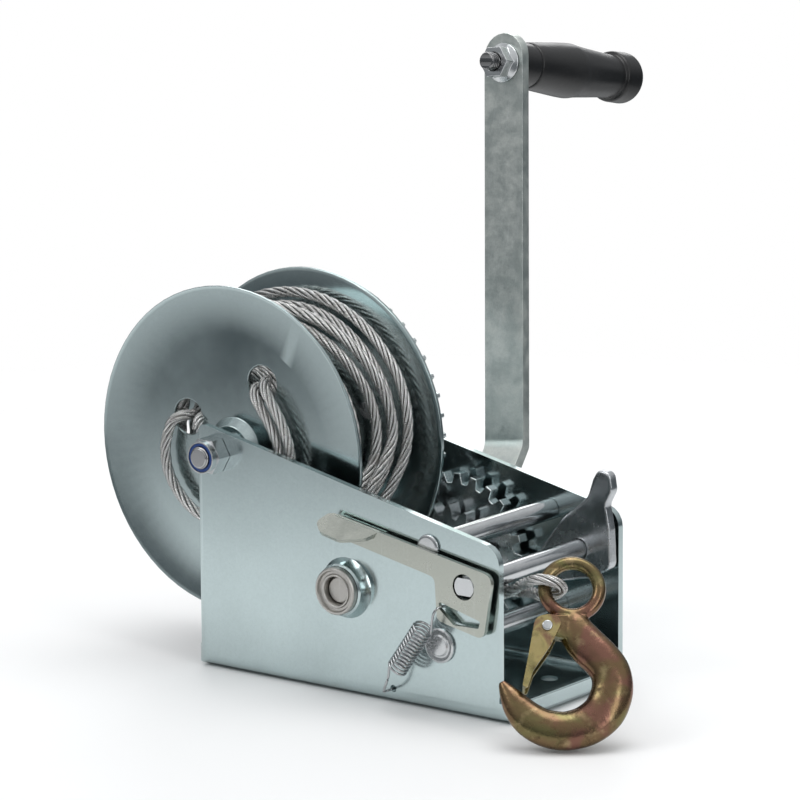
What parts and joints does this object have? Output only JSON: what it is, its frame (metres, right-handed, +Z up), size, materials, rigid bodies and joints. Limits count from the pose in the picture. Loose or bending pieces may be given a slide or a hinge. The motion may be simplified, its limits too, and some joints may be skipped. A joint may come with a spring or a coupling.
{
  "type": "trailer winch",
  "caption": "Hand winch: sheet-steel frame with a geared rope drum, cranked drive shaft with ratchet and lever, wire rope and spring-latched hook.",
  "frame": {"origin": "middle of the frame's underside, on the floor's plane", "axes": "+X forwards along the rope to the hook, +Y across to the crank side, +Z up"},
  "size_m": [0.3537, 0.3393, 0.329],
  "materials": {
    "zinc_plate": "bright zinc-plated sheet, smooth and faintly bluish, with fine scuffs",
    "galvanised_steel": "zinc-plated steel, slightly mottled, with cut edges",
    "bright_steel": "bright zinc-plated turned steel",
    "cast_steel": "plated casting with a grainy surface",
    "wire_rope": "galvanised stranded wire, dull",
    "yellow_zinc": "yellow-passivated zinc with faint rainbow tints",
    "pressed_aluminium": "pressed sleeve, satin",
    "bush_bronze": "dull sintered bush, oiled",
    "black_plastic": "black moulded plastic, semi-matt, lightly scuffed",
    "blue_nylon": "blue nylon locking ring"
  },
  "bodies": {
    "root": {"frame": "zinc_plate", "upper_tie_rod": "bright_steel", "lower_tie_rod": "bright_steel", "drum_bolt": "bright_steel", "drum_nut": "bright_steel", "nut_insert_ring": "blue_nylon", "drum_spacer_near": "bright_steel", "drum_spacer_far": "bright_steel", "bush_near": "bush_bronze", "bush_far": "bush_bronze", "lever_spring": "bright_steel", "rope_tail": "wire_rope", "rope_ferrule": "pressed_aluminium", "hook": "yellow_zinc", "latch_rivet": "bright_steel"},
    "drum": {"near_flange": "zinc_plate", "far_flange": "zinc_plate", "drum_tube": "bright_steel", "drum_hub": "bright_steel", "drum_gear": "galvanised_steel", "gear_rivet_1": "bright_steel", "gear_rivet_2": "bright_steel", "gear_rivet_3": "bright_steel", "gear_rivet_4": "bright_steel", "rope_inner": "wire_rope", "rope_winding": "wire_rope", "rope_anchor": "wire_rope"},
    "drive": {"drive_shaft": "bright_steel", "drive_pinion": "bright_steel", "ratchet_wheel": "galvanised_steel", "shaft_collar_near": "bright_steel", "shaft_collar_far": "bright_steel", "crank_arm": "galvanised_steel", "crank_washer": "bright_steel", "crank_nut": "bright_steel", "grip_bolt": "bright_steel", "grip_nut": "bright_steel", "grip_ferrule": "black_plastic"},
    "grip": {"grip": "black_plastic"},
    "pawl_set": {"pawl_shaft": "bright_steel", "pawl": "cast_steel", "control_lever": "zinc_plate"},
    "latch": {"hook_latch": "yellow_zinc"}
  },
  "joints": [
    {"name": "drum_spin", "type": "hinge", "parent": "root", "child": "drum", "pos_m": [-0.0872, 0, 0.11895], "axis": [0, 1, 0], "continuous": true},
    {"name": "drive_spin", "type": "hinge", "parent": "root", "child": "drive", "pos_m": [0.001, 0, 0.0582], "axis": [0, 1, 0], "continuous": true},
    {"name": "grip_spin", "type": "hinge", "parent": "drive", "child": "grip", "pos_m": [-0.03292, 0.13531, 0.31245], "axis": [0.0239, 0.9836, -0.1789], "continuous": true},
    {"name": "pawl_turn", "type": "hinge", "parent": "root", "child": "pawl_set", "pos_m": [0.081, 0, 0.071], "axis": [0, 1, 0], "range_deg": [-7, 6.6], "deforming": ["lever_spring"]},
    {"name": "latch_turn", "type": "hinge", "parent": "root", "child": "latch", "pos_m": [0.13076, -0.05715, 0.05554], "axis": [0.5131, -0.6712, 0.5349], "range_deg": [0, 32], "stiffness_Nm_per_rad": 0.02, "springref_deg": -17.19}
  ],
  "couplings": [
    {"joint": "drive_spin", "follows": "drum_spin", "ratio": -3.2}
  ]
}
